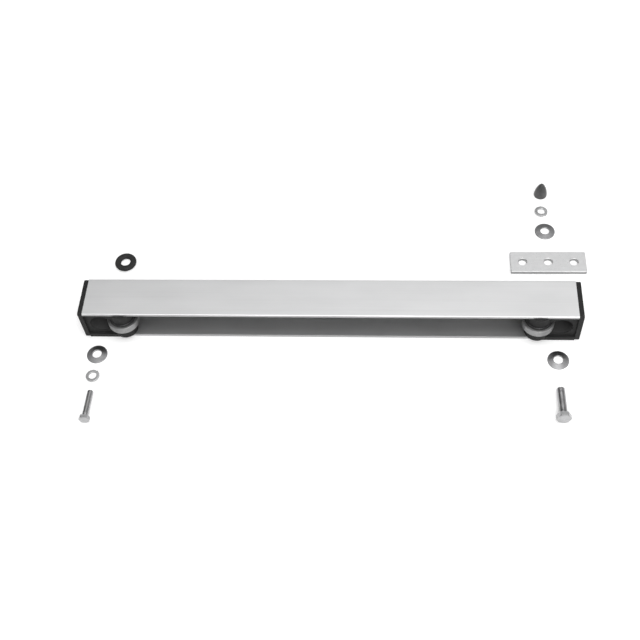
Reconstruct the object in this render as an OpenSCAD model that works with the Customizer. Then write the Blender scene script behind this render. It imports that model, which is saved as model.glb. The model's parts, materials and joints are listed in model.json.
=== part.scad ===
// Roller rail for a sliding barn door, shown as a kit laid out on a bench.
// An open channel lies on its back flange with the fascia up; a plug-in roller
// unit closes each end, and the fixings for the two ends lie beside the rail.
// X runs along the rail, +Y points to the web side that bolts to the door,
// +Z is up and z = 0 is the bench. The origin is the middle of the back flange.

/* [Rail] */
// Length of the aluminium channel between the end caps
rail_length = 490; // [300:10:1200]
// Depth of the section, from the fascia's free edge to the web's outer face
rail_depth = 44; // [42:1:60]
// Height of the section, from the back flange to the fascia
rail_height = 40; // [40:1:60]
// Wall thickness of the channel
rail_wall = 3; // [2:0.5:3.5]
// Radius on the channel's outside corners
rail_corner_r = 1; // [0.4:0.2:1.4]
// How far the back flange stops short of the fascia's free edge
flange_setback = 1.5; // [1:0.5:4]
// Width of the guide ribs inside the channel
rib_width = 2; // [1:0.5:4]
// Height of the guide ribs inside the channel
rib_height = 1.2; // [0.8:0.1:2]
// Distance of the guide ribs from the web's inner face
rib_inset = 13; // [8:0.5:16]

/* [Fixing holes] */
// Distance of each fixing hole from the end of the channel
hole_from_end = 15; // [14:0.5:30]
// Diameter of the fixing holes
fixing_hole_d = 9; // [8.4:0.1:10]
// Diameter of the pocket that takes the bolt head and washers
pocket_d = 23; // [22.4:0.2:26]

/* [End caps] */
// Thickness of an end cap
cap_thickness = 5; // [4:0.5:8]
// Corner radius of an end cap
cap_corner_r = 2.5; // [1:0.5:5]
// Depth of the step around an end cap's outer face
cap_step = 0.8; // [0.4:0.1:1.5]
// Diameter of the cap screws
cap_screw_d = 4; // [3:0.5:4]
// Length of a cap screw under its head
cap_screw_length = 10; // [8:1:12]
// Diameter of a cap screw's head
cap_head_d = 7; // [6:0.5:8]
// Height of a cap screw's head
cap_head_h = 2.2; // [1.6:0.1:2.4]
// Distance of each cap screw from the channel's inner faces
cap_screw_inset = 4.8; // [4.2:0.1:5.5]

/* [Roller units] */
// Diameter of a roller over its tread
wheel_d = 32; // [28:1:32]
// Width of a roller's tread
wheel_width = 8; // [7.5:0.5:12]
// Radial thickness of the tread ring
tyre_thickness = 2.5; // [1.5:0.25:3]
// How far the roller stands out of the channel's open side
wheel_proud = 7; // [3:0.5:9]
// Distance from the channel's end to the roller's axle
wheel_from_end = 37; // [36:0.5:60]
// Gap around the roller inside its housing
wheel_gap = 1.5; // [1:0.25:3]
// Radius of the boss that holds the axle
boss_r = 12; // [7:0.5:13]
// How far the housing's front stands back from the fascia's edge
housing_setback = 2.5; // [2:0.25:3.5]
// Thickness of the housing wall that the fixing bolt clamps
clamp_wall = 4; // [3:0.5:6]
// Length of the housing's solid end block
block_length = 19; // [16:0.5:19]
// Distance that the clamp wall reaches past the fixing hole
clamp_reach = 16; // [14:0.5:20]

/* [Bearings] */
// Diameter of the axle and the bearing's bore
axle_d = 8; // [6:0.5:8]
// Outside diameter of the bearing
bearing_od = 22; // [21:0.5:24]
// Width of the bearing
bearing_width = 7; // [6.5:0.5:7]
// Outside diameter of the inner race
inner_race_od = 12; // [11.5:0.1:12.4]
// Inside diameter of the outer race
outer_race_id = 18; // [17.6:0.1:18.4]
// Diameter of a bearing ball
ball_d = 3.9; // [3.5:0.1:3.9]
// Number of balls in a bearing
ball_count = 7; // [6:1:8]
// Radial thickness of the ball cage
cage_thickness = 1; // [0.6:0.1:1.2]
// Thickness of a bearing seal
seal_thickness = 0.6; // [0.4:0.1:0.7]
// Outside diameter of the spacers beside the inner race
spacer_od = 11.4; // [10:0.1:11.5]

/* [Bolts and washers] */
// Diameter of the right bolt's shank
right_bolt_d = 8; // [6:0.5:8]
// Width of the right bolt's head across its flats
right_bolt_flats = 13; // [10:1:13]
// Height of the right bolt's head
right_bolt_head_h = 5.3; // [4:0.1:6]
// Diameter of the left bolt's shank
left_bolt_d = 6; // [5:0.5:8]
// Width of the left bolt's head across its flats
left_bolt_flats = 10; // [8:1:13]
// Height of the left bolt's head
left_bolt_head_h = 4; // [3:0.1:6]
// Length of the bolts under the head
bolt_length = 30; // [20:5:50]
// Outside diameter of the flat washers
washer_od = 21; // [16:0.5:22]
// Thickness of the flat washers
washer_t = 2; // [1:0.2:3]
// Hole diameter of the flat washers
washer_hole_d = 9.5; // [8.4:0.1:11]
// Outside diameter of the spring washers
spring_od = 13.6; // [12.6:0.2:16]
// Hole diameter of the spring washers
spring_hole_d = 8.2; // [8.1:0.1:8.8]
// Thickness of the spring washers
spring_t = 2; // [1.5:0.1:2.5]
// Rise of a spring washer from one end to the other
spring_rise = 1.2; // [0.6:0.1:2]
// Opening between a spring washer's ends, in degrees
spring_split = 14; // [8:1:30]

/* [Plate, ring and cone nut] */
// Length of the fixing plate
plate_length = 78; // [76:1:100]
// Width of the fixing plate
plate_width = 26; // [20:1:40]
// Thickness of the fixing plate
plate_t = 4; // [3:0.5:6]
// Distance between the plate's holes
plate_pitch = 26.5; // [20:0.5:30]
// Diameter of the plate's holes
plate_hole_d = 9; // [8.4:0.1:10]
// Corner radius of the fixing plate
plate_corner_r = 1; // [0.5:0.5:4]
// Outside diameter of the rubber buffer ring
ring_od = 23; // [20:1:30]
// Hole diameter of the rubber buffer ring
ring_hole_d = 10.5; // [9:0.5:14]
// Thickness of the rubber buffer ring
ring_t = 4.5; // [4.25:0.25:10]
// Edge rounding of the rubber buffer ring
ring_edge_r = 2; // [0.5:0.25:2]
// Diameter of the cone nut at its base
nut_d = 14; // [13:0.5:18]
// Height of the cone nut
nut_h = 18; // [16:1:30]
// Depth of the cone nut's threaded hole
nut_bore_depth = 10; // [8:0.5:12]
// Diameter of the cone nut's threaded hole, at the thread's crests
nut_bore_d = 6.8; // [5:0.1:7]

/* [Layout on the bench] */
// Distance of the right-hand fixings from the right end of the channel
right_inset = 18.5; // [10:0.5:40]
// Distance of the left-hand fixings from the left end of the channel
left_inset = 10.5; // [5:0.5:40]
// Distance of the buffer ring from the left end of the channel
ring_inset = 22; // [10:0.5:40]
// Gap between the web and the middle of the buffer ring
ring_gap = 51; // [20:1:80]
// Gap between the web and the middle of the plate
plate_gap = 51.5; // [20:0.5:80]
// Gap between the web and the middle of the rear flat washer
rear_washer_gap = 95; // [80:1:120]
// Gap between the web and the middle of the rear spring washer
rear_spring_gap = 122; // [112:1:140]
// Gap between the web and the middle of the cone nut
nut_gap = 147.5; // [136:0.5:180]
// Gap between the rail's open side and the middle of the left flat washer
left_washer_gap = 22; // [20:0.5:40]
// Gap between the rail's open side and the middle of the left spring washer
left_spring_gap = 48; // [44:0.5:60]
// Gap between the rail's open side and the tip of the left bolt
left_bolt_gap = 66.5; // [58:0.5:90]
// Gap between the rail's open side and the middle of the right flat washer
right_washer_gap = 24; // [20:0.5:40]
// Gap between the rail's open side and the tip of the right bolt
right_bolt_gap = 58; // [38:0.5:90]

/* [Clearances] */
// Gap between a roller unit and the channel it slides in
slide_gap = 0.3; // [0.2:0.05:0.5]
// Gap between parts that are pressed or screwed together
tight_gap = 0.02; // [0.01:0.01:0.05]
// Running gap between the balls and the races
ball_gap = 0.04; // [0.02:0.01:0.08]

/* [Hidden] */
$fn = 64;
eps = 0.5;

// Channel
rail_end = rail_length / 2;
front_y = -rail_depth / 2;
web_outer_y = rail_depth / 2;
web_inner_y = web_outer_y - rail_wall;
flange_front_y = front_y + flange_setback;
mid_z = rail_height / 2;
rib_y = web_inner_y - rib_inset;
hole_x = rail_end - hole_from_end;

// Roller unit
wheel_x = rail_end - wheel_from_end;
wheel_y = front_y - wheel_proud + wheel_d / 2;
housing_front_y = front_y + housing_setback;
housing_back_y = web_inner_y - slide_gap;
housing_low_z = rail_wall + slide_gap;
housing_high_z = rail_height - rail_wall - slide_gap;
housing_height = housing_high_z - housing_low_z;
slot_half = wheel_width / 2 + wheel_gap + (bearing_width > wheel_width ? bearing_width - wheel_width : 0);
block_x = rail_end - block_length;
clamp_wall_x = hole_x - clamp_reach;
clamp_wall_front_y = housing_back_y - clamp_wall;
lip_back_y = flange_front_y - slide_gap;
cap_screw_low_z = rail_wall + cap_screw_inset;
cap_screw_high_z = rail_height - rail_wall - cap_screw_inset;
cap_screw_y = 0;
cap_screw_zs = [cap_screw_low_z, cap_screw_high_z];
cap_outer_x = rail_end + cap_thickness;
cap_recess = cap_head_h + 0.4;

// Bearing. The tread ring takes at most half of the wall round the bearing.
axle_r = axle_d / 2;
hub_r = max(wheel_d / 2 - tyre_thickness, (wheel_d + bearing_od) / 4);
ball_r = ball_d / 2;
ball_pitch_r = (inner_race_od + outer_race_id) / 4;
groove_r = ball_r + ball_gap;
seal_inset = 0.2;
seal_gap = 0.3;
axle_end_gap = 0.2;

// Bench layout
right_x = rail_end - right_inset;
left_x = -rail_end + left_inset;
ring_x = -rail_end + ring_inset;

// A rectangle centred on the origin, with true arcs at its corners.
module rounded_rectangle(width, height, r) {
    square([width - 2 * r, height], center = true);
    square([width, height - 2 * r], center = true);
    for (sx = [-1, 1], sy = [-1, 1])
        translate([sx * (width / 2 - r), sy * (height / 2 - r)]) circle(r = r);
}

// A section drawn with Y across and Z up, run along X from x0 for a length.
module along_x(x0, length) {
    translate([x0, 0, 0]) rotate([90, 0, 90]) linear_extrude(length) children();
}

// A flat ring standing on its base, with true round walls.
module ring(outer_r, inner_r, thickness) {
    difference() {
        cylinder(r = outer_r, h = thickness);
        translate([0, 0, -eps]) cylinder(r = inner_r, h = thickness + 2 * eps);
    }
}

// A ring whose four edges are broken by small chamfers.
module chamfered_ring(outer_r, inner_r, thickness, chamfer) {
    rotate_extrude($fn = 96) polygon([
        [inner_r + chamfer, 0], [outer_r - chamfer, 0], [outer_r, chamfer],
        [outer_r, thickness - chamfer], [outer_r - chamfer, thickness],
        [inner_r + chamfer, thickness], [inner_r, thickness - chamfer], [inner_r, chamfer]
    ]);
}

// The open channel's section, with its two guide ribs.
module rail_section() {
    inner_h = rail_height - 2 * rail_wall;
    difference() {
        translate([0, mid_z]) rounded_rectangle(rail_depth, rail_height, rail_corner_r);
        translate([front_y - eps, rail_wall]) square([web_inner_y - front_y + eps, inner_h]);
        translate([front_y - eps, -eps]) square([flange_setback + eps, rail_wall + 2 * eps]);
    }
    for (z = [rail_wall - eps, rail_height - rail_wall - rib_height])
        translate([rib_y - rib_width / 2, z]) square([rib_width, rib_height + eps]);
}

module rail_channel() {
    color([0.80, 0.80, 0.81]) difference() {
        along_x(-rail_end, rail_length) rail_section();
        for (side = [-1, 1])
            translate([side * hole_x, web_outer_y + eps, mid_z])
                rotate([90, 0, 0]) cylinder(d = fixing_hole_d, h = rail_wall + 2 * eps);
    }
}

// The parts of a roller unit are drawn for the right end; mirror_x gives the left.
module end_cap() {
    color([0.10, 0.10, 0.10]) difference() {
        union() {
            along_x(rail_end, cap_thickness - cap_step)
                translate([0, mid_z]) rounded_rectangle(rail_depth, rail_height, cap_corner_r);
            along_x(rail_end, cap_thickness)
                translate([0, mid_z])
                    rounded_rectangle(rail_depth - 2 * cap_step, rail_height - 2 * cap_step,
                                      cap_corner_r - cap_step / 2);
        }
        for (z = cap_screw_zs) translate([rail_end - eps, cap_screw_y, z]) rotate([0, 90, 0]) {
            cylinder(d = cap_screw_d + 2 * tight_gap, h = cap_thickness + 2 * eps);
            translate([0, 0, cap_thickness - cap_recess + eps])
                cylinder(d = cap_head_d + 0.6, h = cap_recess + eps);
        }
    }
}

module cap_screws() {
    seat_x = cap_outer_x - cap_recess;
    color([0.55, 0.55, 0.56]) for (z = cap_screw_zs)
        translate([seat_x, cap_screw_y, z]) rotate([0, 90, 0]) difference() {
            union() {
                cylinder(d = cap_head_d, h = cap_head_h);
                translate([0, 0, -cap_screw_length]) cylinder(d = cap_screw_d, h = cap_screw_length + eps);
            }
            translate([0, 0, cap_head_h - 1.2]) cylinder(r = 1.5, h = 2, $fn = 6);
        }
}

// Plan view of the housing: end block, clamp wall and the arms with the axle bosses.
module housing_plan() {
    arm_back_y = wheel_y + boss_r;
    translate([block_x, housing_front_y])
        square([block_length, housing_back_y - housing_front_y]);
    translate([clamp_wall_x, clamp_wall_front_y])
        square([rail_end - clamp_wall_x, clamp_wall]);
    translate([wheel_x, housing_front_y])
        square([block_x - wheel_x + eps, arm_back_y - housing_front_y]);
    translate([clamp_wall_x, wheel_y])
        square([block_x - clamp_wall_x + eps, housing_back_y - wheel_y]);
    translate([wheel_x, wheel_y]) circle(r = boss_r);
}

// Slot for the roller, round in plan and open to the front and to the rail's middle.
module wheel_slot() {
    slot_r = wheel_d / 2 + wheel_gap;
    translate([0, 0, mid_z - slot_half]) {
        translate([wheel_x, wheel_y, 0]) cylinder(r = slot_r, h = 2 * slot_half, $fn = 96);
        translate([wheel_x - boss_r - eps, front_y - eps, 0])
            cube([boss_r + eps, clamp_wall_front_y - front_y + eps, 2 * slot_half]);
    }
}

// Hook at the housing's foot, which covers the back flange's free edge.
module flange_hook() {
    hook_h = 1.7;
    translate([wheel_x, front_y, housing_low_z])
        cube([wheel_from_end, housing_front_y - front_y + eps, hook_h]);
    translate([wheel_x, front_y, slide_gap])
        cube([wheel_from_end, lip_back_y - front_y, housing_low_z - slide_gap + eps]);
}

module roller_housing() {
    groove_w = rib_width + 2 * slide_gap;
    color([0.13, 0.13, 0.13]) difference() {
        union() {
            translate([0, 0, housing_low_z]) linear_extrude(housing_height) housing_plan();
            flange_hook();
        }
        wheel_slot();
        translate([hole_x, clamp_wall_front_y, mid_z])
            rotate([90, 0, 0]) cylinder(d = pocket_d, h = rail_depth);
        translate([hole_x, housing_back_y + eps, mid_z])
            rotate([90, 0, 0]) cylinder(d = fixing_hole_d, h = clamp_wall + 2 * eps);
        translate([wheel_x, wheel_y, housing_low_z - eps])
            cylinder(r = axle_r + tight_gap, h = housing_height + 2 * eps);
        for (z = [housing_low_z - eps, housing_high_z - rib_height])
            translate([clamp_wall_x - boss_r, rib_y - groove_w / 2, z])
                cube([rail_end - clamp_wall_x + boss_r + eps, groove_w, rib_height + eps]);
        for (z = cap_screw_zs)
            translate([rail_end - cap_screw_length, cap_screw_y, z]) rotate([0, 90, 0])
                cylinder(d = cap_screw_d + 2 * tight_gap, h = cap_screw_length + eps);
    }
}

// Puts its children on the roller's axis at a height above the bench.
module on_axle(z) {
    translate([wheel_x, wheel_y, z]) children();
}

module axle() {
    color([0.70, 0.70, 0.72]) on_axle(housing_low_z + axle_end_gap) {
        axle_length = housing_height - 2 * axle_end_gap;
        chamfer = 0.6;
        rotate_extrude() polygon([
            [0, 0], [axle_r - chamfer, 0], [axle_r, chamfer],
            [axle_r, axle_length - chamfer], [axle_r - chamfer, axle_length], [0, axle_length]
        ]);
    }
}

module axle_spacers() {
    spacer_h = slot_half - bearing_width / 2;
    color([0.60, 0.60, 0.61])
        for (z = [mid_z - slot_half, mid_z + bearing_width / 2])
            on_axle(z) ring(spacer_od / 2, axle_r + tight_gap, spacer_h);
}

// Ball groove shared by both races.
module ball_groove() {
    rotate_extrude($fn = 96) translate([ball_pitch_r, bearing_width / 2]) circle(r = groove_r);
}

module inner_race() {
    color([0.72, 0.72, 0.74]) on_axle(mid_z - bearing_width / 2) difference() {
        ring(inner_race_od / 2, axle_r + tight_gap, bearing_width);
        ball_groove();
    }
}

module outer_race() {
    color([0.72, 0.72, 0.74]) on_axle(mid_z - bearing_width / 2) difference() {
        ring(bearing_od / 2, outer_race_id / 2, bearing_width);
        ball_groove();
    }
}

module balls() {
    color([0.85, 0.85, 0.87]) on_axle(mid_z) for (i = [0 : ball_count - 1])
        rotate([0, 0, i * 360 / ball_count]) translate([ball_pitch_r, 0, 0]) sphere(r = ball_r);
}

// The cage's pockets are round holes drilled through its wall, one for each ball.
module ball_cage() {
    cage_h = ball_d + 0.9;
    color([0.75, 0.68, 0.45]) on_axle(mid_z - cage_h / 2) difference() {
        ring(ball_pitch_r + cage_thickness / 2, ball_pitch_r - cage_thickness / 2, cage_h);
        for (i = [0 : ball_count - 1])
            rotate([0, 0, i * 360 / ball_count])
                translate([ball_pitch_r - cage_thickness, 0, cage_h / 2])
                    rotate([0, 90, 0]) cylinder(r = groove_r, h = 2 * cage_thickness);
    }
}

module bearing_seals() {
    low_z = mid_z - bearing_width / 2 + seal_inset;
    high_z = mid_z + bearing_width / 2 - seal_inset - seal_thickness;
    color([0.20, 0.20, 0.20]) for (z = [low_z, high_z])
        on_axle(z) ring(outer_race_id / 2 - tight_gap, inner_race_od / 2 + seal_gap, seal_thickness);
}

module wheel_hub() {
    color([0.12, 0.12, 0.12]) on_axle(mid_z - bearing_width / 2)
        ring(hub_r, bearing_od / 2 + tight_gap, bearing_width);
}

module wheel_tyre() {
    color([0.82, 0.82, 0.82]) on_axle(mid_z - wheel_width / 2)
        chamfered_ring(wheel_d / 2, hub_r + tight_gap, wheel_width, 0.5);
}

module mirror_x() {
    mirror([1, 0, 0]) children();
}

module flat_washer(x, y) {
    color([0.74, 0.74, 0.75]) translate([x, y, 0]) difference() {
        chamfered_ring(washer_od / 2, washer_hole_d / 2, washer_t, 0.25);
        translate([0, 0, -eps]) cylinder(d = washer_hole_d, h = washer_t + 2 * eps);
    }
}

// One turn of square wire that rises steadily from one end to the other, open at the split.
module spring_washer(x, y, split_at) {
    steps = 72;
    inner_r = spring_hole_d / 2;
    outer_r = spring_od / 2;
    sweep = 360 - spring_split;
    corners = [[inner_r, 0], [outer_r, 0], [outer_r, spring_t], [inner_r, spring_t]];
    points = [
        for (i = [0 : steps], c = corners)
            let (a = split_at + spring_split / 2 + sweep * i / steps, z = spring_rise * i / steps)
                [c[0] * cos(a), c[0] * sin(a), c[1] + z]
    ];
    sides = [
        for (i = [0 : steps - 1], k = [0 : 3])
            let (n = (k + 1) % 4) [4 * i + k, 4 * i + n, 4 * i + 4 + n, 4 * i + 4 + k]
    ];
    last = 4 * steps;
    ends = [[3, 2, 1, 0], [last, last + 1, last + 2, last + 3]];
    color([0.70, 0.70, 0.71]) translate([x, y, 0])
        polyhedron(points = points, faces = concat(sides, ends), convexity = 4);
}

// A hexagon bolt lying on its head's flat and its tip, with the tip towards the rail.
module hex_bolt(x, tip_y, bolt_d, flats, head_h) {
    chamfer = bolt_d / 10;
    half_flats = flats / 2;
    crown_r = half_flats * 0.96;
    tilt = atan((half_flats - bolt_d / 2) / bolt_length);
    bearing_y = tip_y - bolt_length * cos(tilt) - bolt_d / 2 * sin(tilt);
    color([0.72, 0.72, 0.73])
        translate([x, bearing_y, half_flats * cos(tilt)]) rotate([-90 - tilt, 0, 0]) {
            translate([0, 0, -head_h]) intersection() {
                cylinder(r = half_flats / cos(30), h = head_h, $fn = 6);
                cylinder(r1 = crown_r, r2 = crown_r + head_h * 1.7, h = head_h);
            }
            translate([0, 0, -eps]) cylinder(d = bolt_d, h = bolt_length - chamfer + eps);
            translate([0, 0, bolt_length - chamfer])
                cylinder(r1 = bolt_d / 2, r2 = bolt_d / 2 - chamfer, h = chamfer);
        }
}

module fixing_plate() {
    color([0.80, 0.80, 0.80]) translate([right_x, web_outer_y + plate_gap, 0]) difference() {
        linear_extrude(plate_t) rounded_rectangle(plate_length, plate_width, plate_corner_r);
        for (i = [-1 : 1])
            translate([i * plate_pitch, 0, -eps]) cylinder(d = plate_hole_d, h = plate_t + 2 * eps);
    }
}

module buffer_ring() {
    middle_r = (ring_od + ring_hole_d) / 4;
    color([0.12, 0.12, 0.12]) translate([ring_x, web_outer_y + ring_gap, 0])
        rotate_extrude($fn = 96) translate([middle_r, ring_t / 2])
            rounded_rectangle((ring_od - ring_hole_d) / 2, ring_t, ring_edge_r);
}

// Radius of the cone nut at a share t of the height above its base.
function nut_radius(t) = nut_d / 2 * pow(1 - pow(t, 1.9), 0.72);

module cone_nut() {
    steps = 28;
    chamfer = 0.5;
    outline = [for (i = [0 : steps]) let (t = sin(90 * i / steps)) [nut_radius(t), nut_h * t]];
    color([0.22, 0.22, 0.22]) translate([right_x - 1, web_outer_y + nut_gap, 0]) difference() {
        rotate_extrude($fn = 96) polygon(concat([[0, 0]], outline));
        translate([0, 0, -eps]) cylinder(d = nut_bore_d, h = nut_bore_depth + eps);
        translate([0, 0, nut_bore_depth]) cylinder(r1 = nut_bore_d / 2, r2 = 0, h = 2);
        translate([0, 0, -eps])
            cylinder(r1 = nut_bore_d / 2 + chamfer + eps, r2 = nut_bore_d / 2, h = chamfer + eps);
    }
}

rail_channel();
mirror_x() end_cap();  // left_end_cap
mirror_x() cap_screws();  // left_cap_screws
mirror_x() roller_housing();  // left_roller_housing
mirror_x() axle();  // left_axle
mirror_x() axle_spacers();  // left_axle_spacers
mirror_x() inner_race();  // left_inner_race
mirror_x() outer_race();  // left_outer_race
mirror_x() balls();  // left_balls
mirror_x() ball_cage();  // left_ball_cage
mirror_x() bearing_seals();  // left_bearing_seals
mirror_x() wheel_hub();  // left_wheel_hub
mirror_x() wheel_tyre();  // left_wheel_tyre
end_cap();  // right_end_cap
cap_screws();  // right_cap_screws
roller_housing();  // right_roller_housing
axle();  // right_axle
axle_spacers();  // right_axle_spacers
inner_race();  // right_inner_race
outer_race();  // right_outer_race
balls();  // right_balls
ball_cage();  // right_ball_cage
bearing_seals();  // right_bearing_seals
wheel_hub();  // right_wheel_hub
wheel_tyre();  // right_wheel_tyre
buffer_ring();
flat_washer(left_x, front_y - left_washer_gap);  // left_flat_washer
spring_washer(left_x, front_y - left_spring_gap, 60);  // left_spring_washer
hex_bolt(left_x + 1.5, front_y - left_bolt_gap, left_bolt_d, left_bolt_flats, left_bolt_head_h);  // left_bolt
fixing_plate();
flat_washer(right_x, web_outer_y + rear_washer_gap);  // rear_flat_washer
spring_washer(right_x - 2, web_outer_y + rear_spring_gap, 300);  // rear_spring_washer
cone_nut();
flat_washer(right_x + 1, front_y - right_washer_gap);  // right_flat_washer
hex_bolt(right_x, front_y - right_bolt_gap, right_bolt_d, right_bolt_flats, right_bolt_head_h);  // right_bolt
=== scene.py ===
"""Roller rail for a sliding barn door: an aluminium channel with a roller unit at each end,
and the fixings for the two ends laid out beside it on a white bench.

Shapes are worked out in millimetres in the part's own frame: X along the rail, +Y to the web side
that bolts to the door, +Z up and the bench at 0. They become metres when their mesh is made.
"""

import json
import math

import bmesh
import bpy
import numpy as np
from mathutils import Matrix, Vector

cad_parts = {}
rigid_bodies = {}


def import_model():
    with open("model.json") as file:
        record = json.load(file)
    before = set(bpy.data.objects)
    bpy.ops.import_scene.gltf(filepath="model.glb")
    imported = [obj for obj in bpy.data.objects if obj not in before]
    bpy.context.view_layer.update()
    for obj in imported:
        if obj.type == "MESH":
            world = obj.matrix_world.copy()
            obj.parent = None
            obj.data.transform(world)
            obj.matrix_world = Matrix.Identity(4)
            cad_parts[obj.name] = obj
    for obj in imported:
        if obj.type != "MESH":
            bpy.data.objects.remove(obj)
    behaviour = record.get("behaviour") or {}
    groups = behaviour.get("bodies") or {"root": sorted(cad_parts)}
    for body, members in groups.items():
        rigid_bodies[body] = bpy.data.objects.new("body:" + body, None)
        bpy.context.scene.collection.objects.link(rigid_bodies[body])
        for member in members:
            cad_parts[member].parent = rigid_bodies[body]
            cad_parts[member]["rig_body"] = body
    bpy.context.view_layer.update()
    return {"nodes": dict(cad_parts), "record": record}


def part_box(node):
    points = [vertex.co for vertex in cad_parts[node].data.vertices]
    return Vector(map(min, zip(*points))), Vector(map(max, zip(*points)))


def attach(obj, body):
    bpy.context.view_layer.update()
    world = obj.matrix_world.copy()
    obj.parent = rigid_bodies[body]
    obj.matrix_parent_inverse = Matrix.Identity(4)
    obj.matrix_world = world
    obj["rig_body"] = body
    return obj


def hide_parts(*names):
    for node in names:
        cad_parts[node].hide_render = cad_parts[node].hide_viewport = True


MM = 0.001

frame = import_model()
part_slots = {part["node"]: part["material_slot"] for part in frame["record"]["subparts"]}
part_bodies = {node: piece["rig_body"] for node, piece in frame["nodes"].items()}


def box_mm(node):
    """Lowest and highest corner of a CAD node, in millimetres."""
    low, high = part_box(node)
    return np.array(low) / MM, np.array(high) / MM


# ---------------------------------------------------------------- shapes

# A metric thread in shares of its pitch: its depth, the flat at its root, and its two flanks together.
THREAD_DEPTH = 0.6134
THREAD_ROOT = 0.14
THREAD_FLANKS = 0.62
# How fast a rod widens from its chamfered tip.
TIP_SLOPE = 1.2


def rounded(corners, radii, steps=4):
    """Closed outline through the corners, each one replaced by an arc of its radius.

    With unit vectors u and v from a corner to its neighbours, an angle a between them and a
    radius r, the arc's centre is at the corner + (u + v) / |u + v| * r / sin(a / 2), and it runs
    between the points r / tan(a / 2) along u and v.
    """
    corner = np.asarray(corners, float)
    radius = np.broadcast_to(np.asarray(radii, float), len(corner))[:, None]
    u = np.roll(corner, 1, axis=0) - corner
    v = np.roll(corner, -1, axis=0) - corner
    u /= np.linalg.norm(u, axis=1, keepdims=True)
    v /= np.linalg.norm(v, axis=1, keepdims=True)
    half = np.arccos(np.clip((u * v).sum(axis=1, keepdims=True), -1, 1)) / 2
    middle = (u + v) / np.linalg.norm(u + v, axis=1, keepdims=True)
    centre = corner + middle * radius / np.sin(half)
    first = corner + u * radius / np.tan(half) - centre
    last = corner + v * radius / np.tan(half) - centre
    turn = (np.pi - 2 * half)[:, :, None]
    share = np.linspace(0, 1, steps + 1)[None, :, None]
    arc = (np.sin((1 - share) * turn) * first[:, None] + np.sin(share * turn) * last[:, None]) / np.sin(turn)
    return (centre[:, None] + arc).reshape(-1, 2)


def rectangle(width, height, radius, steps=6):
    """Outline of a rectangle about the origin, with its corners rounded."""
    x, y = width / 2, height / 2
    return rounded([(x, -y), (x, y), (-x, y), (-x, -y)], radius, steps)


def grid_faces(rows, columns, wrap_rows=False, wrap_columns=True):
    """Quads between neighbours in a grid of points that is stored row by row."""
    row = np.arange(rows if wrap_rows else rows - 1)
    column = np.arange(columns if wrap_columns else columns - 1)
    row, column = np.meshgrid(row, column, indexing="ij")
    next_row, next_column = (row + 1) % rows, (column + 1) % columns
    quads = [row * columns + column, row * columns + next_column,
             next_row * columns + next_column, next_row * columns + column]
    return np.stack(quads, axis=-1).reshape(-1, 4).tolist()


def joined(*shells):
    """Several shells as one: their points one after the other, and their faces renumbered."""
    points, faces, first = [], [], 0
    for shell_points, shell_faces in shells:
        points.append(shell_points)
        faces += [[first + index for index in face] for face in shell_faces]
        first += len(shell_points)
    return np.concatenate(points), faces


def moved(shell, offset=(0, 0, 0), turn=None):
    """A shell turned by a 3 x 3 matrix about the origin, then shifted."""
    points, faces = shell
    if turn is not None:
        points = points @ np.asarray(turn, float).T
    return points + np.asarray(offset, float), faces


def lathe(profile, steps=96):
    """Turns a profile of (radius r, height z) about the Z axis: x = r cos t, y = r sin t, z = z.

    A profile that touches the axis is an open line from pole to pole; any other one is closed.
    """
    radius, height = np.asarray(profile, float).T[:, :, None]
    turn = np.linspace(0, 2 * np.pi, steps, endpoint=False)[None, :]
    points = np.stack([radius * np.cos(turn), radius * np.sin(turn), height + 0 * turn], axis=-1)
    solid = min(radius[0, 0], radius[-1, 0]) < 1e-9
    return points.reshape(-1, 3), grid_faces(len(radius), steps, wrap_rows=not solid)


def skinned(loops):
    """Loops of equally many points joined one to the next, with a flat face on both ends."""
    loops = np.asarray(loops, float)
    count, size = loops.shape[:2]
    ends = [list(range(size))[::-1], list(range((count - 1) * size, count * size))]
    return loops.reshape(-1, 3), grid_faces(count, size) + ends


def slab(width, height, thickness, corner, low_edge, high_edge):
    """A plate with rounded corners and edges. Round an edge of radius e, at each angle a from 0
    to 90 degrees, the outline shrinks by e (1 - sin a) and lies e (1 - cos a) from the face.
    """
    angle = np.radians([0, 22.5, 45, 67.5, 90])
    low = [(low_edge * (1 - s), low_edge * (1 - c)) for s, c in zip(np.sin(angle), np.cos(angle))]
    high = [(high_edge * (1 - s), thickness - high_edge * (1 - c))
            for s, c in zip(np.sin(angle[::-1]), np.cos(angle[::-1]))]
    loops = []
    for inset, z in low + high:
        outline = rectangle(width - 2 * inset, height - 2 * inset, corner - inset)
        loops.append(np.column_stack([outline, np.full(len(outline), z)]))
    return skinned(loops)


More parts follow.
